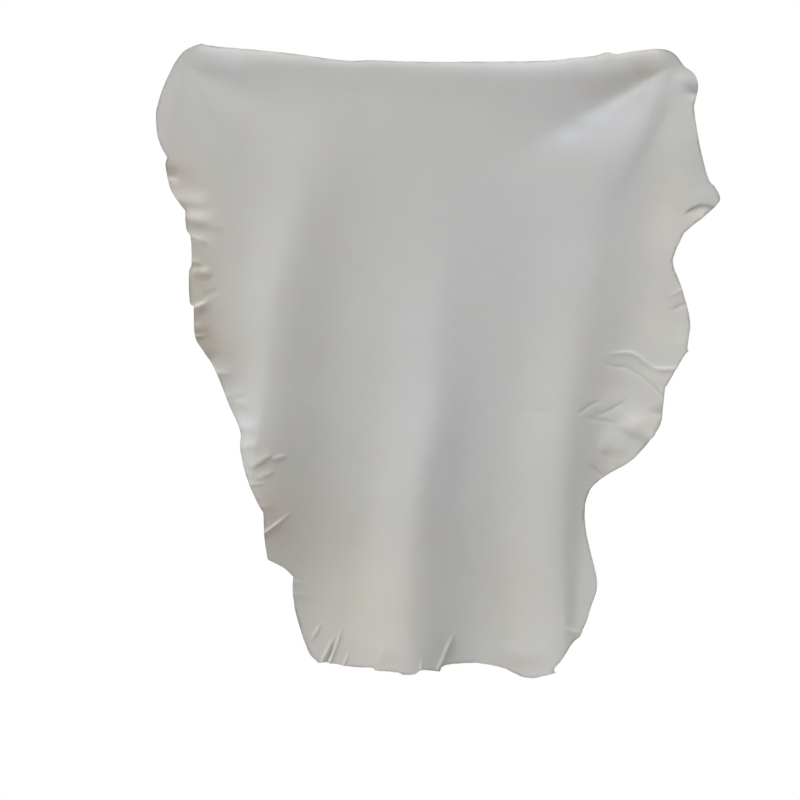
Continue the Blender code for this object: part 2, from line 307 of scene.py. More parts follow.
# The folds that fan out from each held corner. Turns are degrees below level, towards the middle.
# Arrive and leave say how steep the skin is just before and after a turn: both 0 is a round fold,
# and anything more is a crease.
fanColumns = ("turn", "share", "arrive", "leave")
grips = {
    "right": {
        "place": (281, -5), "inward": -1, "reach": 95.0, "lift": 28.0, "gather": 1.5,
        "fan": [(-40, 0.0, 0.0, 0.0), (3, 0.0, 0.0, 0.0), (28.5, -0.13, 0.7, 0.6),
                (41, 0.085, 0.6, 1.2), (66, 0.32, 0.3, 0.0), (110, 0.32, 0.0, 0.0),
                (180, 0.0, 0.0, 0.0)],
    },
    "left": {
        "place": (-284, -2), "inward": 1, "reach": 90.0, "lift": 5.0, "gather": 1.5,
        "fan": [(-40, 0.0, 0.0, 0.0), (5, 0.0, 0.0, 0.0), (24, -0.25, 0.0, 0.0),
                (55, 0.45, 0.0, 0.0), (78, -0.05, 0.0, 0.0), (105, 0.25, 0.0, 0.0),
                (180, 0.0, 0.0, 0.0)],
    },
}

topRoll = {"back": -5.0, "backDepth": 4.5, "swell": 0.8, "swellBelow": 16.0, "swellWidth": 15.0}

# Creases run from left to right. A lift below 0 is a trough. The widths are above and below the
# run, a power under 2 makes the crease crisper, and each fade is the share of the run it takes.
creaseColumns = ("lift", "above", "below", "power", "fadeIn", "fadeOut", "run")
creases = {
    "left edge": [
        (-3.5, 8.0, 5.0, 2.0, 0.0, 0.6, [(-314, -129), (-297, -131), (-279, -134)]),
        (2.3, 9.0, 5.0, 2.0, 0.0, 0.9, [(-299, -160), (-279, -162), (-250, -166)]),
        (2.9, 8.0, 4.5, 2.0, 0.0, 0.8, [(-285, -179), (-268, -183), (-245, -190), (-225, -192)]),
        (2.8, 4.0, 8.0, 2.0, 0.0, 0.5, [(-285, -199), (-268, -204), (-249, -212)]),
        (1.8, 3.5, 3.2, 2.0, 0.0, 0.5, [(-281, -229), (-268, -231), (-257, -236)]),
        (2.5, 4.5, 4.5, 2.0, 0.3, 0.5, [(-274, -244), (-260, -243), (-247, -247)]),
        (-0.8, 4.0, 4.0, 2.0, 0.3, 0.5, [(-262, -271), (-248, -266), (-235, -261)]),
        (3.3, 2.6, 7.0, 1.7, 0.0, 0.5, [(-290, -290), (-268, -283), (-257, -278), (-246, -274)]),
        (3.0, 5.5, 6.0, 2.0, 0.0, 0.7, [(-288, -305), (-262, -306), (-248, -308)]),
        (1.6, 2.5, 2.5, 1.8, 0.0, 0.5, [(-284, -319), (-265, -316), (-251, -315)]),
        (-2.4, 26.0, 7.0, 2.0, 0.0, 0.5, [(-272, -351), (-237, -347), (-216, -343)]),
        (2.6, 4.0, 4.5, 1.8, 0.0, 0.6, [(-259, -359), (-237, -359), (-225, -360)]),
        (1.0, 6.0, 4.0, 2.0, 0.2, 0.5, [(-236, -385), (-216, -381), (-205, -375)]),
        (1.5, 7.0, 5.0, 2.0, 0.0, 0.5, [(-236, -390), (-214, -394), (-198, -401)]),
        (1.6, 9.0, 6.0, 2.0, 0.0, 0.5, [(-232, -420), (-205, -423), (-191, -428)]),
        (2.0, 9.0, 5.0, 2.0, 0.0, 0.5, [(-228, -444), (-206, -442), (-190, -437)]),
        (2.1, 5.0, 3.0, 1.8, 0.3, 0.3, [(-207, -468), (-191, -459), (-177, -449)]),
        (1.2, 3.0, 3.0, 2.0, 0.3, 0.5, [(-182, -458), (-170, -455), (-159, -453)]),
        (1.2, 3.5, 3.0, 1.8, 0.3, 0.4, [(-200, -481), (-186, -475), (-175, -469)]),
        (1.7, 2.6, 2.0, 1.6, 0.0, 0.5, [(-220, -485), (-198, -486), (-182, -483)]),
        (1.1, 3.0, 2.6, 1.6, 0.0, 0.6, [(-208, -511), (-188, -512), (-174, -511)]),
        (2.6, 1.8, 3.0, 1.6, 0.0, 0.5, [(-202, -552), (-180, -536), (-168, -526), (-154, -515)]),
        (0.8, 3.0, 3.0, 1.8, 0.0, 0.7, [(-166, -595), (-148, -600), (-134, -602)]),
        (0.7, 3.5, 3.0, 1.8, 0.0, 0.7, [(-164, -611), (-146, -614), (-130, -612)]),
    ],
    "hem": [
        (1.2, 2.2, 1.8, 1.7, 0.3, 0.4, [(-134, -667), (-129, -657), (-122, -646)]),
        (1.9, 2.2, 1.3, 1.6, 0.0, 0.3, [(-128, -704), (-116, -678), (-106, -659)]),
        (-1.5, 1.3, 1.3, 1.6, 0.0, 0.4, [(-123, -704), (-112, -680), (-104, -665)]),
        (1.7, 1.5, 2.3, 1.6, 0.0, 0.3, [(-119, -704), (-108, -677), (-103, -662), (-98, -646)]),
        (1.5, 1.5, 1.5, 1.6, 0.0, 0.4, [(-101, -704), (-95, -689), (-91, -678)]),
        (0.8, 4.0, 4.0, 2.0, 0.0, 0.6, [(-58, -692), (-54, -681), (-47, -667)]),
        (1.4, 1.7, 1.9, 1.6, 0.0, 0.5, [(-11, -712), (-8, -692), (-5, -681)]),
        (2.4, 2.5, 1.7, 1.6, 0.0, 0.4, [(4, -716), (14, -693), (23, -672), (33, -655)]),
        (-1.0, 2.6, 7.0, 2.0, 0.0, 0.5, [(9, -716), (20, -692), (29, -672), (39, -655)]),
        (0.9, 5.0, 4.0, 2.0, 0.3, 0.5, [(30, -692), (46, -688), (62, -690)]),
        (0.9, 7.0, 7.0, 2.0, 0.4, 0.4, [(88, -670), (106, -681), (126, -689)]),
        (2.0, 2.6, 3.6, 1.6, 0.5, 0.0, [(146, -648), (160, -652), (172, -657), (192, -664)]),
    ],
    "right side": [
        (1.5, 24.0, 1.2, 1.7, 0.4, 0.0, [(291, -179), (298, -171), (308, -166), (320, -165),
                                         (344, -170)]),
        (-1.3, 1.2, 6.5, 1.6, 0.3, 0.0, [(290, -181), (298, -173), (308, -168), (320, -167),
                                         (344, -172)]),
        (1.2, 2.0, 2.6, 1.5, 0.5, 0.0, [(272, -272), (282, -267), (290, -263), (304, -259)]),
        (-0.8, 2.6, 3.0, 1.7, 0.4, 0.0, [(272, -289), (282, -285), (290, -281), (306, -279)]),
        (1.7, 2.4, 2.4, 1.7, 0.4, 0.0, [(195, -339), (212, -336), (231, -335), (241, -339),
                                        (251, -347), (260, -353), (270, -354), (298, -353)]),
        (-1.0, 2.4, 2.2, 1.6, 0.3, 0.0, [(195, -346), (214, -350), (229, -352), (240, -358),
                                         (253, -368), (276, -392)]),
        (-0.7, 2.4, 3.0, 1.6, 0.3, 0.4, [(166, -409), (177, -401), (193, -392), (205, -389)]),
        (-0.9, 2.6, 3.2, 1.6, 0.3, 0.4, [(184, -409), (201, -404), (216, -397), (230, -388),
                                         (237, -385)]),
        (-0.8, 2.6, 2.6, 1.8, 0.3, 0.4, [(175, -408), (199, -413), (223, -417)]),
        (3.6, 22.0, 4.5, 2.0, 0.5, 0.1, [(214, -416), (239, -425), (260, -434)]),
        (1.5, 14.0, 8.0, 2.0, 0.3, 0.4, [(194, -441), (212, -443), (232, -444)]),
        (-0.8, 3.6, 3.6, 1.8, 0.4, 0.4, [(194, -446), (204, -452), (216, -458)]),
        (-1.3, 3.2, 3.2, 1.7, 0.4, 0.0, [(184, -462), (195, -471), (212, -484)]),
        (-1.4, 5.0, 4.0, 1.8, 0.5, 0.0, [(248, -400), (262, -404), (280, -404)]),
        (-0.4, 3.0, 4.0, 2.0, 0.4, 0.4, [(104, -402), (130, -403), (158, -406)]),
    ],
    "right grip": [
        (1.3, 12.0, 8.0, 2.0, 0.5, 0.0, [(276, -14), (290, -20), (304, -24), (322, -26)]),
        (-3.4, 8.0, 6.0, 2.0, 0.6, 0.0, [(288, -33), (304, -36), (328, -39)]),
    ],
    "middle": [
        (0.5, 6.0, 6.0, 2.0, 0.4, 0.4, [(-160, -384), (-128, -402), (-92, -434)]),
    ],
}
# The soft trough below the right grip is even all along, unlike the creases.
gripTrough = (-2.4, 12.0, 26.0, 2.0, 0.75, 0.3, [(206, -180), (232, -142), (257, -102),
                                                 (268, -80), (277, -58), (282, -36), (285, -20)])

# The skin isn't quite flat between its folds, and less so near its cut edge.
creaseStray = {"size": 13.0, "aside": 0.9, "uneven": 0.5, "unevenSize": 17.0}
creaseReach = 3.5      # how many of its widths away from its run a crease can still be felt
smallestFade = 1e-6    # stands for a fade of 0, which can't be divided by
puckers = {"size": 34.0, "lift": 0.10, "edgeLift": 0.42, "edgeBand": 26.0}


def smoothStep(t):
    t = np.clip(t, 0.0, 1.0)
    return t * t * (3.0 - 2.0 * t)


def columnAtHeight(table, column, z):
    # a column of a fold table, read smoothly between its rows
    heights = np.array([row[0] for row in table], float)
    values = np.array([row[column] for row in table], float)
    place = np.clip((heights[0] - z) / (heights[0] - heights[1]), 0.0, len(table) - 1.001)
    row = place.astype(int)
    before, start = values[np.maximum(row - 1, 0)], values[row]
    end, after = values[row + 1], values[np.minimum(row + 2, len(table) - 1)]
    return curveBetween(before, start, end, after, place - row)


def hangingFolds(x, z):
    lift = np.zeros(len(x))
    for column in range(1, len(foldColumns) - 1):
        left, right = (columnAtHeight(foldPlaces, column + side, z) for side in (0, 1))
        leftLift, rightLift = (columnAtHeight(foldLifts, column + side, z) for side in (0, 1))
        t = np.clip((x - left) / (right - left), 0.0, 1.0)
        sharpness = foldSharpness[column]
        if foldColumns[column].startswith("ridge"):
            swing = 1.0 - smoothStep((1.0 - t) ** sharpness)
        else:
            swing = smoothStep(t ** sharpness)
        here = (x >= left) & (x < right)
        lift = np.where(here, leftLift + (rightLift - leftLift) * swing, lift)
    return lift


def gripFolds(x, z, grip):
    across = (x - grip["place"][0]) * grip["inward"]
    down = grip["place"][1] - z
    away = np.hypot(across, down) / grip["reach"]
    turn = np.degrees(np.arctan2(down, across))
    share = np.zeros(len(x))
    rows = [dict(zip(fanColumns, row)) for row in grip["fan"]]
    for start, end in zip(rows, rows[1:]):
        t = np.clip((turn - start["turn"]) / (end["turn"] - start["turn"]), 0.0, 1.0)
        swing = (smoothStep(t) + start["leave"] * t * (1.0 - t) ** 2
                 - end["arrive"] * t ** 2 * (1.0 - t))
        here = start["share"] + (end["share"] - start["share"]) * swing
        share = np.where(turn >= start["turn"], here, share)
    gather = grip["gather"]
    return grip["lift"] * share * away ** gather * np.exp(0.5 * gather * (1.0 - away ** 2))


def alongRun(x, z, run):
    # distance to a run of points, which side it is on, and the share of the run passed there
    lengths = np.linalg.norm(np.diff(run, axis=0), axis=1)
    passed = np.concatenate([[0.0], np.cumsum(lengths)])
    nearest = np.full(len(x), np.inf)
    above = np.zeros(len(x), bool)
    share = np.zeros(len(x))
    for index, (start, end) in enumerate(zip(run[:-1], run[1:])):
        stepX, stepZ = end - start
        t = ((x - start[0]) * stepX + (z - start[1]) * stepZ) / lengths[index] ** 2
        t = np.clip(t, 0.0, 1.0)
        offX, offZ = x - start[0] - t * stepX, z - start[1] - t * stepZ
        gap = np.hypot(offX, offZ)
        closer = gap < nearest
        nearest = np.where(closer, gap, nearest)
        above = np.where(closer, stepX * offZ - stepZ * offX > 0, above)
        share = np.where(closer, (passed[index] + t * lengths[index]) / passed[-1], share)
    return nearest, above, share


def rolledTop(x, z):
    below, _, _ = alongRun(x, z, smoothCurve(cutEdge["top"] + cutEdge["right grip"][:1], 6))
    back = topRoll["back"] * np.exp(-below / topRoll["backDepth"])
    swellPlace = (below - topRoll["swellBelow"]) / topRoll["swellWidth"]
    return back + topRoll["swell"] * np.exp(-swellPlace ** 2)


def allCreases():
    return [row for rows in creases.values() for row in rows]


def creaseLift(x, z, row):
    crease = dict(zip(creaseColumns, row))
    run = smoothCurve(crease["run"], 8)
    reach = creaseReach * max(crease["above"], crease["below"])
    near = np.all([x > run[:, 0].min() - reach, x < run[:, 0].max() + reach,
                   z > run[:, 1].min() - reach, z < run[:, 1].max() + reach], axis=0)
    gap, above, share = alongRun(x[near], z[near], run)
    width = np.where(above, crease["above"], crease["below"])
    strength = smoothStep(share / max(crease["fadeIn"], smallestFade))
    strength *= smoothStep((1.0 - share) / max(crease["fadeOut"], smallestFade))
    lift = np.zeros(len(x))
    lift[near] = crease["lift"] * strength * np.exp(-(gap / width) ** crease["power"])
    return lift


def creaseRelief(x, z):
    # no crease runs quite smoothly or stays quite as strong
    aside = creaseStray["aside"]
    strayX = x + aside * softNoise(x, z, creaseStray["size"], noiseLayers["creaseX"])
    strayZ = z + aside * softNoise(x, z, creaseStray["size"], noiseLayers["creaseZ"])
    patchy = softNoise(x, z, creaseStray["unevenSize"], noiseLayers["creaseStrength"])
    strength = 1.0 + creaseStray["uneven"] * patchy
    return strength * sum(creaseLift(strayX, strayZ, row) for row in allCreases())


def hideLift(x, z, edgeGap):
    lift = hangingFolds(x, z) + rolledTop(x, z) + creaseRelief(x, z) + creaseLift(x, z, gripTrough)
    for grip in grips.values():
        lift += gripFolds(x, z, grip)
    pucker = puckers["lift"] + puckers["edgeLift"] * np.exp(-edgeGap / puckers["edgeBand"])
    return lift + pucker * softNoise(x, z, puckers["size"], noiseLayers["pucker"])


# The sheet itself: points, then faces, then thickness.

def treeOf(points):
    tree = KDTree(len(points))
    for index, point in enumerate(points):
        tree.insert((point[0], point[1], 0.0), index)
    tree.balance()
    return tree


def gapTo(tree, points):
    return np.array([tree.find((point[0], point[1], 0.0))[2] for point in points])


def insideRing(points, ring):
    within = np.zeros(len(points), bool)
    for start, end in zip(ring, np.roll(ring, -1, axis=0)):
        if start[1] != end[1]:
            crosses = (start[1] > points[:, 1]) != (end[1] > points[:, 1])
            at = start[0] + (points[:, 1] - start[1]) * (end[0] - start[0]) / (end[1] - start[1])
            within ^= crosses & (points[:, 0] < at)
    return within


def staggeredGrid(low, high, step):
    columns = np.arange(low[0], high[0], step * math.sqrt(0.75))
    rows = np.arange(low[1], high[1], step)
    x, z = np.meshgrid(columns, rows, indexing="ij")
    z = z + 0.5 * step * (np.arange(len(columns)) % 2)[:, None]
    return np.column_stack([x.ravel(), z.ravel()])


def hidePoints(ring):
    edgeTree = treeOf(cutEdgeRing(hide["edgeStep"] / 4))
    creaseTree = treeOf(np.vstack([smoothCurve(row[-1], 12) for row in allCreases()]))
    levels = [
        (hide["creaseStep"], creaseTree, hide["creaseBand"]),
        (hide["borderStep"], edgeTree, hide["borderBand"]),
        (hide["innerStep"], edgeTree, math.inf),
    ]
    kept = ring
    for step, guideTree, band in levels:
        points = staggeredGrid(ring.min(axis=0), ring.max(axis=0), step)
        points = points[gapTo(guideTree, points) < band]
        points = points[insideRing(points, ring)]
        points = points[gapTo(treeOf(kept), points) > hide["clearance"] * step]
        kept = np.vstack([kept, points])
    return kept, edgeTree


def storeValues(mesh, name, values):
    mesh.attributes.new(name, "FLOAT", "POINT").data.foreach_set("value", values)


def plainMesh(thing, name):
    # what the modifiers make, as a mesh of its own
    thing.update_tag()
    graph = bpy.context.evaluated_depsgraph_get()
    made = bpy.data.meshes.new_from_object(thing.evaluated_get(graph), depsgraph=graph)
    made.name = name
    bpy.data.objects.remove(thing)
    return made


def makeHide():
    ring = cutEdgeRing(hide["edgeStep"])
    points, edgeTree = hidePoints(ring)
    ringEdges = [(index, (index + 1) % len(ring)) for index in range(len(ring))]
    insideOnly, nearEnough = 1, 1e-5
    flat, _, faces, *_ = delaunay_2d_cdt([Vector(point) for point in points], ringEdges, [],
                                         insideOnly, nearEnough)
    x, z = np.array(flat).T
    edgeGap = gapTo(edgeTree, np.column_stack([x, z]))
    lift = hideLift(x, z, edgeGap) - hideLift(*np.zeros((3, 1)))     # none at the origin
    vertices = np.column_stack([x, -lift, z]) * mm
    sheet = bpy.data.meshes.new("sheet")
    sheet.from_pydata(vertices.tolist(), [], [tuple(face) for face in faces])
    sheet.shade_smooth()
    for name, spots in toneSpots.items():
        storeValues(sheet, name + "Tone", toneAmount(x, z, spots))
    # a band along the cut edge: the raw edge's own colour, deepened as painted shade
    storeValues(sheet, "edgeWearAndShade", np.exp(-edgeGap / edgeWearAndShadeWidth))
    storeValues(sheet, "paintedCreaseShading", paintedCreaseShading(x, z))
    print("hide sheet has", len(x), "points and", len(faces), "faces on each side")

    thick = addObject("thick sheet", sheet)
    wall = thick.modifiers.new("wall", "SOLIDIFY")
    wall.thickness = hide["thickness"] * mm
    wall.offset = 0.0
    wall.use_even_offset = True
    rim = thick.modifiers.new("rim", "BEVEL")
    rim.width = hide["rimRound"] * mm
    rim.segments = hide["rimSegments"]
    rim.limit_method = "ANGLE"
    rim.angle_limit = math.radians(hide["rimAngle"])
    rim.harden_normals = True
    return addObject("chamois", plainMesh(thick, "chamois"))


# Colour: soft stains, with painted highlights and painted shade among them, kept on the sheet for its
# material to read.

# Each spot has an amount, its middle in millimetres, and its half-size across and down.
toneSpots = {
    "cream": [
        (0.60, -268, -165, 46, 50), (0.60, -262, -245, 42, 58), (0.50, -236, -338, 32, 30),
        (0.40, -292, -112, 28, 34), (0.50, -88, -612, 66, 58), (0.45, 97, -610, 34, 58),
        (0.25, 276, -185, 26, 62), (0.60, 262, -300, 26, 50), (0.40, 252, -410, 18, 36),
        (0.35, 210, -460, 20, 18), (0.40, 262, 2, 30, 9), (0.20, -60, -660, 90, 40),
        (0.12, 190, -24, 40, 12),
    ],
    "olive": [
        (0.52, -160, -490, 44, 60), (0.22, -150, -350, 70, 80), (0.06, 20, -570, 170, 130),
        (0.35, -254, -246, 20, 52), (0.30, -296, -128, 8, 10),
    ],
    # cool spots: a cool white tint, used mostly as painted highlight on the lit facet by the right
    # grip, along the rolled top edge and on lit caps at the left edge
    "cool": [
        (0.50, 208, -58, 34, 13), (0.50, 165, -84, 26, 13), (0.26, 222, -85, 44, 26),
        (0.22, 260, -32, 24, 14), (0.30, 290, -21, 12, 9), (0.40, 118, -6, 66, 9),
        (0.10, 150, -32, 50, 18), (0.20, 25, -425, 60, 80), (0.35, 316, -145, 12, 14),
        (0.20, 238, -408, 12, 12),
        (0.18, 140, -180, 130, 100), (0.15, 262, -300, 30, 60), (0.15, -232, 4, 30, 12),
        (0.10, -222, -378, 16, 26), (0.45, -208, -415, 14, 9), (0.35, -210, -434, 9, 12),
        (0.10, -20, -45, 260, 45), (0.15, 226, -150, 14, 40), (0.15, 20, -320, 170, 200),
        (0.25, 18, -475, 18, 60), (0.35, -226, 2, 14, 8),
        (0.30, -268, -154, 14, 8), (0.35, -262, -175, 13, 6), (0.25, -260, -198, 12, 6),
    ],
    # umber spots: brown stains, and painted shade as well: partly the fingers' shadow by the right
    # grip, and dark shade at the cut edge and along the hem
    "umber": [
        (0.50, -176, -540, 24, 36), (0.35, -120, -540, 60, 60), (0.75, -261, -308, 14, 30),
        (0.28, -240, -336, 26, 22), (0.20, -240, -290, 26, 24), (0.70, -297, -125, 12, 9),
        (0.45, -284, -131, 12, 10), (0.40, 244, -5, 17, 7), (0.35, 247, -12, 14, 7),
        (0.25, 218, -22, 22, 9), (0.22, 196, -35, 20, 8),
        (0.07, 0, -560, 180, 130), (0.30, -262, -250, 12, 12), (0.35, -256, -314, 10, 10),
        (0.50, -187, -512, 14, 14), (0.15, 286, -276, 14, 20), (0.30, 195, -475, 14, 8),
        (0.25, -44, -688, 14, 10), (0.20, -90, -676, 18, 12), (0.35, 244, -429, 10, 5),
        (0.25, 207, -447, 12, 6), (0.25, 198, -461, 12, 7), (0.30, 264, -402, 5, 12),
        (0.70, -273, -264, 3, 11), (0.45, -254, -336, 8, 8), (0.35, -186, -458, 16, 14),
        (0.35, 105, -692, 34, 10), (0.20, -66, -692, 40, 9), (0.70, -127, -690, 3, 3),
        (0.80, 12, -698, 10, 2.5), (0.60, 33, -692, 9, 2), (0.70, 145, -701, 3, 3),
        (0.60, 173, -657, 4, 2.5),
    ],
    # grey spots: painted shade over the lower middle and the hem, in the band below the right grip and
    # along the rolled top edge
    "grey": [
        (0.20, -120, -445, 90, 45), (0.20, 90, -480, 90, 80), (0.28, 56, -570, 28, 75),
        (0.14, -20, -530, 120, 50), (0.18, 30, -650, 40, 30), (0.55, 12, -684, 18, 20),
        (0.30, 36, -682, 14, 16), (0.55, -70, -6, 110, 9), (0.22, 240, -40, 20, 10),
        (0.30, 205, -56, 24, 10), (0.28, 172, -74, 22, 9), (0.25, 236, 4, 24, 7),
        (0.12, 90, -45, 130, 22),
    ],
    # pale spots: a light warm white, used mostly as painted highlight on lit caps along the left edge,
    # on the flap by the right grip and on crease ridges at the right side
    "pale": [
        (0.60, 274, -176, 26, 46), (0.90, 316, -176, 16, 7), (0.25, 290, -134, 14, 18),
        (0.35, 290, -316, 12, 14), (0.50, 262, -358, 18, 8), (0.40, 206, -386, 22, 10),
        (0.35, 238, -410, 12, 8), (0.25, 212, -428, 14, 7), (0.75, -266, -156, 15, 8),
        (0.85, -262, -175, 15, 6), (0.45, -259, -203, 14, 15), (0.30, -257, -238, 6, 4),
        (0.30, -262, -278, 8, 3), (0.35, -222, -396, 12, 14), (0.10, -206, -420, 11, 9),
        (0.10, -208, -438, 9, 7), (0.30, 258, -300, 16, 26), (0.30, 226, -348, 16, 14),
    ],
}
# width of the band along the cut edge that takes the raw edge colour and its painted shade
edgeWearAndShadeWidth = 0.8
toneCrease = {"reach": 2.0, "full": 1.6}     # how far round a place is compared, and full tone


def toneAmount(x, z, spots):
    tone = sum(amount * np.exp(-((x - middleX) / across) ** 2 - ((z - middleZ) / down) ** 2)
               for amount, middleX, middleZ, across, down in spots)
    return np.clip(tone, 0.0, 1.0)


def paintedCreaseShading(x, z):
    # above 0 on a crest, painted lighter as a highlight, and below 0 in a trough, painted darker as
    # shade
    reach = toneCrease["reach"]
    steps = ((reach, 0), (-reach, 0), (0, reach), (0, -reach))
    around = sum(creaseRelief(x + stepX, z + stepZ) for stepX, stepZ in steps) / len(steps)
    return np.clip((creaseRelief(x, z) - around) / toneCrease["full"], -1.0, 1.0)


# Materials.

leather = {
    "natural": screenColour(190, 190, 187),
    "cream": screenColour(190, 184, 174),
    "olive": screenColour(181, 179, 168),
    # cool: a cool white tint, used mostly as painted highlight
    "cool": screenColour(202, 203, 211),
    # umber: a brown stain colour, also used as painted shade
    "umber": screenColour(176, 167, 156),
    # grey: painted shade
    "grey": screenColour(170, 172, 171),
    # pale: a light warm white, used mostly as painted highlight
    "pale": screenColour(209, 205, 197),
    # crest and trough: painted highlight on the ridges of the creases and painted shade in their
    # troughs
    "crest": screenColour(204, 203, 199),
    "trough": screenColour(158, 151, 142),
    # raw edge: the cut edge's own darker colour, darkened further as painted shade along the edge
    "raw edge": screenColour(146, 138, 124),
    "edgeSoilAndShadeScale": 30.0,
    "rosy": (1.009, 0.994, 1.002, 1.0),       # faint patches that multiply the colour
    "mossy": (0.992, 1.003, 0.992, 1.0),
    "patchScale": 22.0,
    "mottle": 0.05,         # how far the colour strays, as a share
    "mottleScale": 55.0,
    "cloudScale": 7.0,
    "napScale": 850.0,
    "brushScale": 190.0,
    "napDepth": 0.00035,
    "napStrength": 0.30,
    "napShare": 0.6,        # how strong the fine grain is against the brushed strokes
    "brushStretch": (1.0, 1.0, 0.35),
    "patchLow": 0.35,       # noise values where a patch starts and where it is full
    "patchHigh": 0.65,
    "edgeSoilAndShadeLeast": 0.15,
    "roughness": 0.93,
    "specular": 0.18,
    "sheenRoughness": 0.5,
    "sheenTint": (1.0, 0.98, 0.95, 1.0),
    "hideSheen": 0.12,
    "fibreSheen": 0.2,
}


class NodeBench:
    # a short way to add and join nodes in one tree
    def __init__(self, tree):
        self.tree = tree

    def add(self, kind, settings=None, **sockets):
        node = self.tree.nodes.new(kind)
        for name, value in (settings or {}).items():
            setattr(node, name, value)
        for name, value in sockets.items():
            self.feed(node.inputs[name.replace("_", " ")], value)
        return node

    def feed(self, socket, value):
        if isinstance(value, bpy.types.NodeSocket):
            self.tree.links.new(value, socket)
        else:
            socket.default_value = value

    def math(self, operation, first, second):
        node = self.add("ShaderNodeMath", {"operation": operation})
        self.feed(node.inputs[0], first)
        self.feed(node.inputs[1], second)
        return node.outputs["Value"]

    def mixColour(self, factor, first, second, blend="MIX"):
        node = self.add("ShaderNodeMix", {"data_type": "RGBA", "blend_type": blend})
        sockets = {socket.identifier: socket for socket in node.inputs}
        self.feed(sockets["Factor_Float"], factor)
        self.feed(sockets["A_Color"], first)
        self.feed(sockets["B_Color"], second)
        return next(socket for socket in node.outputs if socket.identifier == "Result_Color")


def newGroup(name, inputs, outputs):
    tree = bpy.data.node_groups.new(name, "ShaderNodeTree")
    for socket, kind, value in inputs:
        made = tree.interface.new_socket(socket, in_out="INPUT", socket_type=kind)
        made.default_value = value
    for socket, kind in outputs:
        tree.interface.new_socket(socket, in_out="OUTPUT", socket_type=kind)
    bench = NodeBench(tree)
    return tree, bench, bench.add("NodeGroupInput"), bench.add("NodeGroupOutput")


def makeToneGroup():
    # the skin's colour from how much of each tone it has, with soft mottling
    # Crest and Trough are painted highlight and painted shade along the creases
    tones = [name.title() for name in toneSpots] + ["Crest", "Trough"]
    inputs = [(name, "NodeSocketFloat", 0.0) for name in tones + ["Raw Edge"]]
    inputs.append(("Mottle", "NodeSocketFloat", leather["mottle"]))
    tree, bench, given, result = newGroup("hide tone", inputs, [("Color", "NodeSocketColor")])
    place = bench.add("ShaderNodeTexCoord").outputs["Object"]

    def patches(scale, least):
        # soft patches whose value runs from the least to 1
        patch = bench.add("ShaderNodeTexNoise", Vector=place, Scale=scale, Detail=1.0)
        spread = bench.add("ShaderNodeMapRange", Value=patch.outputs["Fac"], To_Min=least,
                           From_Min=leather["patchLow"], From_Max=leather["patchHigh"])
        return spread.outputs["Result"]

    colour = leather["natural"]
    for name in tones:
        colour = bench.mixColour(given.outputs[name], colour, leather[name.lower()])
    # the raw edge colour in patches: soiling of the cut edge and painted shade along it
    edgeSoilAndShade = patches(leather["edgeSoilAndShadeScale"], leather["edgeSoilAndShadeLeast"])
    edgeSoilAndShade = bench.math("MULTIPLY", given.outputs["Raw Edge"], edgeSoilAndShade)
    colour = bench.mixColour(edgeSoilAndShade, colour, leather["raw edge"])
    tint = bench.mixColour(patches(leather["patchScale"], 0.0), leather["rosy"], leather["mossy"])
    colour = bench.mixColour(1.0, colour, tint, "MULTIPLY")
    mottle = bench.add("ShaderNodeTexNoise", Vector=place, Scale=leather["mottleScale"],
                       Detail=4.0, Roughness=0.6)
    cloud = bench.add("ShaderNodeTexNoise", Vector=place, Scale=leather["cloudScale"], Detail=2.0)
    stray = bench.math("ADD", mottle.outputs["Fac"], cloud.outputs["Fac"])
    stray = bench.math("SUBTRACT", stray, 1.0)
    stray = bench.math("MULTIPLY", stray, given.outputs["Mottle"])
    stray = bench.math("ADD", stray, 1.0)
    grey = bench.add("ShaderNodeCombineColor", Red=stray, Green=stray, Blue=stray)
    colour = bench.mixColour(1.0, colour, grey.outputs["Color"], "MULTIPLY")
    bench.feed(result.inputs["Color"], colour)
    return tree


def makeNapGroup():
    # short brushed fibres: a fine grain over longer strokes that run down the skin
    inputs = [("Nap Scale", "NodeSocketFloat", leather["napScale"]),
              ("Brush Scale", "NodeSocketFloat", leather["brushScale"])]
    tree, bench, given, result = newGroup("nap", inputs, [("Height", "NodeSocketFloat")])
    place = bench.add("ShaderNodeTexCoord").outputs["Object"]
    stretched = bench.add("ShaderNodeMapping", Vector=place, Scale=leather["brushStretch"])
    nap = bench.add("ShaderNodeTexNoise", Vector=place, Scale=given.outputs["Nap Scale"],
                    Detail=3.0, Roughness=0.65)
    brush = bench.add("ShaderNodeTexNoise", Vector=stretched.outputs["Vector"],
                      Scale=given.outputs["Brush Scale"], Detail=3.0, Roughness=0.55)
    grain = bench.math("MULTIPLY", nap.outputs["Fac"], leather["napShare"])
    bench.feed(result.inputs["Height"], bench.math("ADD", grain, brush.outputs["Fac"]))
    return tree


def makeLeather(name, toneGroup, napGroup, tones, sheen):
    material = bpy.data.materials.new(name)
    material.use_nodes = True
    bench = NodeBench(material.node_tree)
    shader = material.node_tree.nodes["Principled BSDF"]
    tone = bench.add("ShaderNodeGroup", {"node_tree": toneGroup})
    for socket, value in tones(bench).items():
        bench.feed(tone.inputs[socket], value)
    nap = bench.add("ShaderNodeGroup", {"node_tree": napGroup})
    bump = bench.add("ShaderNodeBump", Height=nap.outputs["Height"], Strength=leather["napStrength"],
                     Distance=leather["napDepth"])
    bench.feed(shader.inputs["Base Color"], tone.outputs["Color"])
    bench.feed(shader.inputs["Normal"], bump.outputs["Normal"])
    shader.inputs["Roughness"].default_value = leather["roughness"]
    shader.inputs["Specular IOR Level"].default_value = leather["specular"]
    shader.inputs["Sheen Weight"].default_value = sheen
    shader.inputs["Sheen Roughness"].default_value = leather["sheenRoughness"]
    shader.inputs["Sheen Tint"].default_value = leather["sheenTint"]
    return material


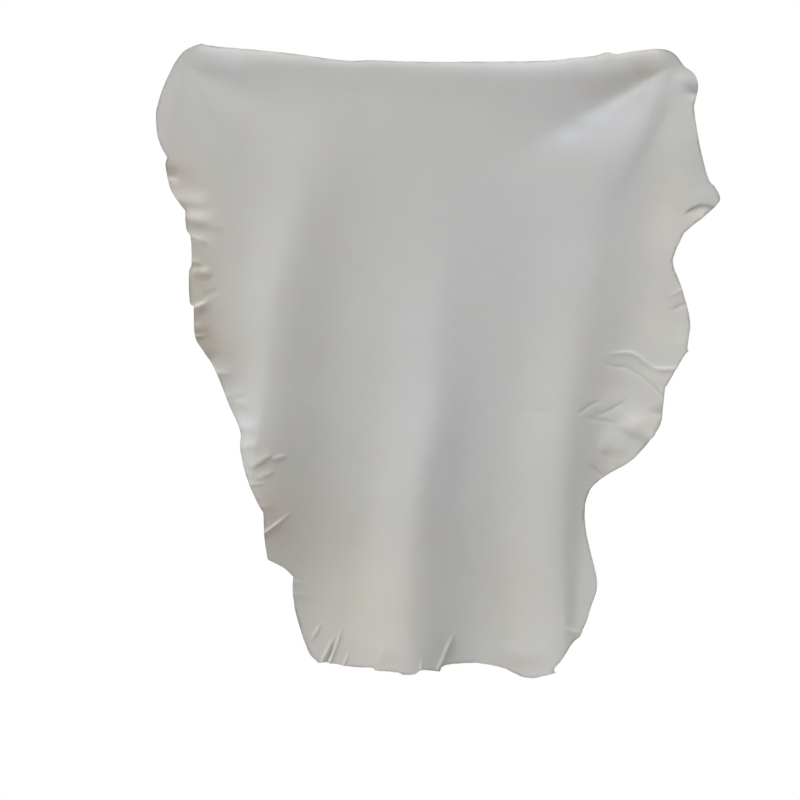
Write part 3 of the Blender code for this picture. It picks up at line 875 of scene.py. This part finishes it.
def hideTones(bench):
    def stored(name):
        return bench.add("ShaderNodeAttribute", {"attribute_name": name}).outputs["Fac"]

    tones = {name.title(): stored(name + "Tone") for name in toneSpots}
    # painted highlight on the ridges of the creases and painted shade in their troughs
    crease = stored("paintedCreaseShading")
    tones["Crest"] = bench.math("MAXIMUM", crease, 0.0)
    tones["Trough"] = bench.math("MAXIMUM", bench.math("MULTIPLY", crease, -1.0), 0.0)
    tones["Raw Edge"] = stored("edgeWearAndShade")
    return tones


def fibreTones(bench):
    # the same on every fibre, so no nodes are needed
    return {"Cream": 0.4, "Raw Edge": 0.5}


toneGroup = makeToneGroup()
napGroup = makeNapGroup()
chamoisLeather = makeLeather("chamois leather", toneGroup, napGroup, hideTones, leather["hideSheen"])
looseFibre = makeLeather("loose fibre", toneGroup, napGroup, fibreTones, leather["fibreSheen"])
print("materials made")


# Loose fibres that stand out of the raw cut edge.

fibres = {
    "Fibre Length": 0.0011,
    "Fibre Width": 0.00009,
    "Fibres per Area": 1.5e6,     # on each square metre of the rim
    "Lean": 0.6,                  # the most that one turns from straight out, in radians
    "Bend": 0.35,                 # how far its tip bends over, as a share of its length
    "Seed": 11,
    "Rim Wear And Shade": 0.95,             # only where the edge wear and shade mask is above this
    "Least Size": 0.35,
    "Most Size": 1.3,
}


def makeFibreTree():
    tree = bpy.data.node_groups.new("rim fibres", "GeometryNodeTree")
    tree.interface.new_socket("Geometry", in_out="INPUT", socket_type="NodeSocketGeometry")
    for name, value in fibres.items():
        kind = "NodeSocketInt" if name == "Seed" else "NodeSocketFloat"
        tree.interface.new_socket(name, in_out="INPUT", socket_type=kind)
    tree.interface.new_socket("Geometry", in_out="OUTPUT", socket_type="NodeSocketGeometry")
    bench = NodeBench(tree)
    given, result = bench.add("NodeGroupInput"), bench.add("NodeGroupOutput")
    wear = bench.add("GeometryNodeInputNamedAttribute", {"data_type": "FLOAT"}, Name="edgeWearAndShade")
    onRim = bench.math("GREATER_THAN", wear.outputs["Attribute"],
                       given.outputs["Rim Wear And Shade"])
    spread = bench.add("GeometryNodeDistributePointsOnFaces", Mesh=given.outputs["Geometry"],
                       Selection=onRim, Density=given.outputs["Fibres per Area"],
                       Seed=given.outputs["Seed"])

    # one fibre: a thin cone whose tip bends over
    thin = bench.math("MULTIPLY", given.outputs["Fibre Width"], 0.5)
    cone = bench.add("GeometryNodeMeshCone", Vertices=3, Side_Segments=3, Radius_Top=0.0,
                     Radius_Bottom=thin, Depth=given.outputs["Fibre Length"])
    place = bench.add("GeometryNodeInputPosition")
    split = bench.add("ShaderNodeSeparateXYZ", Vector=place.outputs["Position"])
    share = bench.math("DIVIDE", split.outputs["Z"], given.outputs["Fibre Length"])
    sideways = bench.math("MULTIPLY", bench.math("MULTIPLY", share, share), given.outputs["Bend"])
    sideways = bench.math("MULTIPLY", sideways, given.outputs["Fibre Length"])
    offset = bench.add("ShaderNodeCombineXYZ", X=sideways)
    bent = bench.add("GeometryNodeSetPosition", Geometry=cone.outputs["Mesh"],
                     Offset=offset.outputs["Vector"])

    placed = bench.add("GeometryNodeInstanceOnPoints", Points=spread.outputs["Points"],
                       Instance=bent.outputs["Geometry"], Rotation=spread.outputs["Rotation"])
    size = bench.add("FunctionNodeRandomValue", {"data_type": "FLOAT"}, Seed=given.outputs["Seed"])
    bench.feed(size.inputs[2], given.outputs["Least Size"])
    bench.feed(size.inputs[3], given.outputs["Most Size"])
    bench.feed(placed.inputs["Scale"], size.outputs[1])
    lean = bench.add("FunctionNodeRandomValue", {"data_type": "FLOAT_VECTOR"},
                     Seed=given.outputs["Seed"])
    most = given.outputs["Lean"]
    least = bench.math("MULTIPLY", most, -1.0)
    low = bench.add("ShaderNodeCombineXYZ", X=least, Y=least, Z=-math.pi)
    high = bench.add("ShaderNodeCombineXYZ", X=most, Y=most, Z=math.pi)
    bench.feed(lean.inputs[0], low.outputs["Vector"])
    bench.feed(lean.inputs[1], high.outputs["Vector"])
    turned = bench.add("GeometryNodeRotateInstances", Instances=placed.outputs["Instances"],
                       Rotation=lean.outputs[0])
    whole = bench.add("GeometryNodeRealizeInstances", Geometry=turned.outputs["Instances"])
    painted = bench.add("GeometryNodeSetMaterial", Geometry=whole.outputs["Geometry"],
                        Material=looseFibre)
    bench.feed(result.inputs["Geometry"], painted.outputs["Geometry"])
    return tree


def makeFibres(chamois):
    grower = addObject("fibre grower", chamois.data.copy())
    growth = grower.modifiers.new("rim fibres", "NODES")
    growth.node_group = makeFibreTree()
    for socket in growth.node_group.interface.items_tree:
        if socket.in_out == "INPUT" and socket.name in fibres:
            growth[socket.identifier] = fibres[socket.name]
    edgeNap = addObject("edgeNap", plainMesh(grower, "edgeNap"))
    print("rim fibres have", len(edgeNap.data.polygons), "faces")
    return edgeNap


chamois = makeHide()
chamois.data.materials.append(chamoisLeather)
edgeNap = makeFibres(chamois)

for piece in (chamois, edgeNap):
    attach(piece, "root")
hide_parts("hide")

print("chamois cloth finished")
